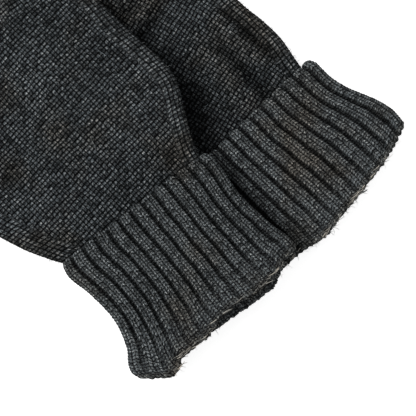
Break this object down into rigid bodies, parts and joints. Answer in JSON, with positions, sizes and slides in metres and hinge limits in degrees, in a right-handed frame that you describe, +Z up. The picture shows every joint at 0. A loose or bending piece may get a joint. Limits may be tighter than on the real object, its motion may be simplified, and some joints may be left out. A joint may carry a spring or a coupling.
{
  "type": "pair of knitted gloves",
  "caption": "Pair of dark grey knitted five-finger gloves lying one partly over the other, with deep turned rib cuffs; hollow hands, fingers that bend.",
  "frame": {"origin": "underside of the lower, right glove, at the middle of its palm", "axes": "+Y along the right glove from its cuff to its fingertips, +X away from its thumb, +Z up from the surface the pair lies on"},
  "size_m": [0.1979, 0.2646, 0.0291],
  "materials": {
    "plain_knit": "knitted wool, charcoal marl",
    "rib_knit": "two by two rib, charcoal marl wool",
    "cast_on_yarn": "cast-on edge of the same yarn"
  },
  "bodies": {
    "right_glove": {"right_hand": "plain_knit", "right_wrist_rib": "rib_knit", "right_cuff": "rib_knit", "right_cast_on_edge": "cast_on_yarn", "right_middle": "plain_knit"},
    "left_glove": {"left_hand": "plain_knit", "left_wrist_rib": "rib_knit", "left_cuff": "rib_knit", "left_cast_on_edge": "cast_on_yarn"},
    "right_thumb": {"right_thumb": "plain_knit"},
    "right_index": {"right_index": "plain_knit"},
    "right_ring": {"right_ring": "plain_knit"},
    "right_little": {"right_little": "plain_knit"},
    "left_thumb": {"left_thumb": "plain_knit"},
    "left_index": {"left_index": "plain_knit"},
    "left_middle": {"left_middle": "plain_knit"},
    "left_ring": {"left_ring": "plain_knit"},
    "left_little": {"left_little": "plain_knit"}
  },
  "joints": [
    {"name": "left_glove_lift", "type": "slide", "parent": "right_glove", "child": "left_glove", "axis": [0, 0, 1], "range_m": [0, 0.08]},
    {"name": "left_thumb_bend", "type": "hinge", "parent": "left_glove", "child": "left_thumb", "pos_m": [-0.11965, 0.01959, 0.0271], "axis": [0.9455, 0.3256, 0], "range_deg": [0, 70]},
    {"name": "left_index_bend", "type": "hinge", "parent": "left_glove", "child": "left_index", "pos_m": [-0.08823, 0.06404, 0.0271], "axis": [0.9925, -0.1219, 0], "range_deg": [0, 85]},
    {"name": "left_middle_bend", "type": "hinge", "parent": "left_glove", "child": "left_middle", "pos_m": [-0.06441, 0.06112, 0.0271], "axis": [0.9925, -0.1219, 0], "range_deg": [0, 85]},
    {"name": "left_ring_bend", "type": "hinge", "parent": "left_glove", "child": "left_ring", "pos_m": [-0.04108, 0.05825, 0.0271], "axis": [0.9925, -0.1219, 0], "range_deg": [0, 85]},
    {"name": "left_little_bend", "type": "hinge", "parent": "left_glove", "child": "left_little", "pos_m": [-0.01925, 0.05557, 0.0271], "axis": [0.9925, -0.1219, 0], "range_deg": [0, 85]},
    {"name": "right_ring_bend", "type": "hinge", "parent": "right_glove", "child": "right_ring", "pos_m": [0.011, 0.0543, 0.0124], "axis": [1, 0, 0], "range_deg": [0, 85]},
    {"name": "right_little_bend", "type": "hinge", "parent": "right_glove", "child": "right_little", "pos_m": [0.033, 0.0543, 0.0124], "axis": [1, 0, 0], "range_deg": [0, 85]},
    {"name": "right_thumb_spread", "type": "hinge", "parent": "right_glove", "child": "right_thumb", "pos_m": [-0.0744, 0.00043, 0.0062], "axis": [0, 0, 1], "range_deg": [0, 25]},
    {"name": "right_index_spread", "type": "hinge", "parent": "right_glove", "child": "right_index", "pos_m": [-0.048, 0.0543, 0.0062], "axis": [0, 0, 1], "range_deg": [0, 15]}
  ]
}
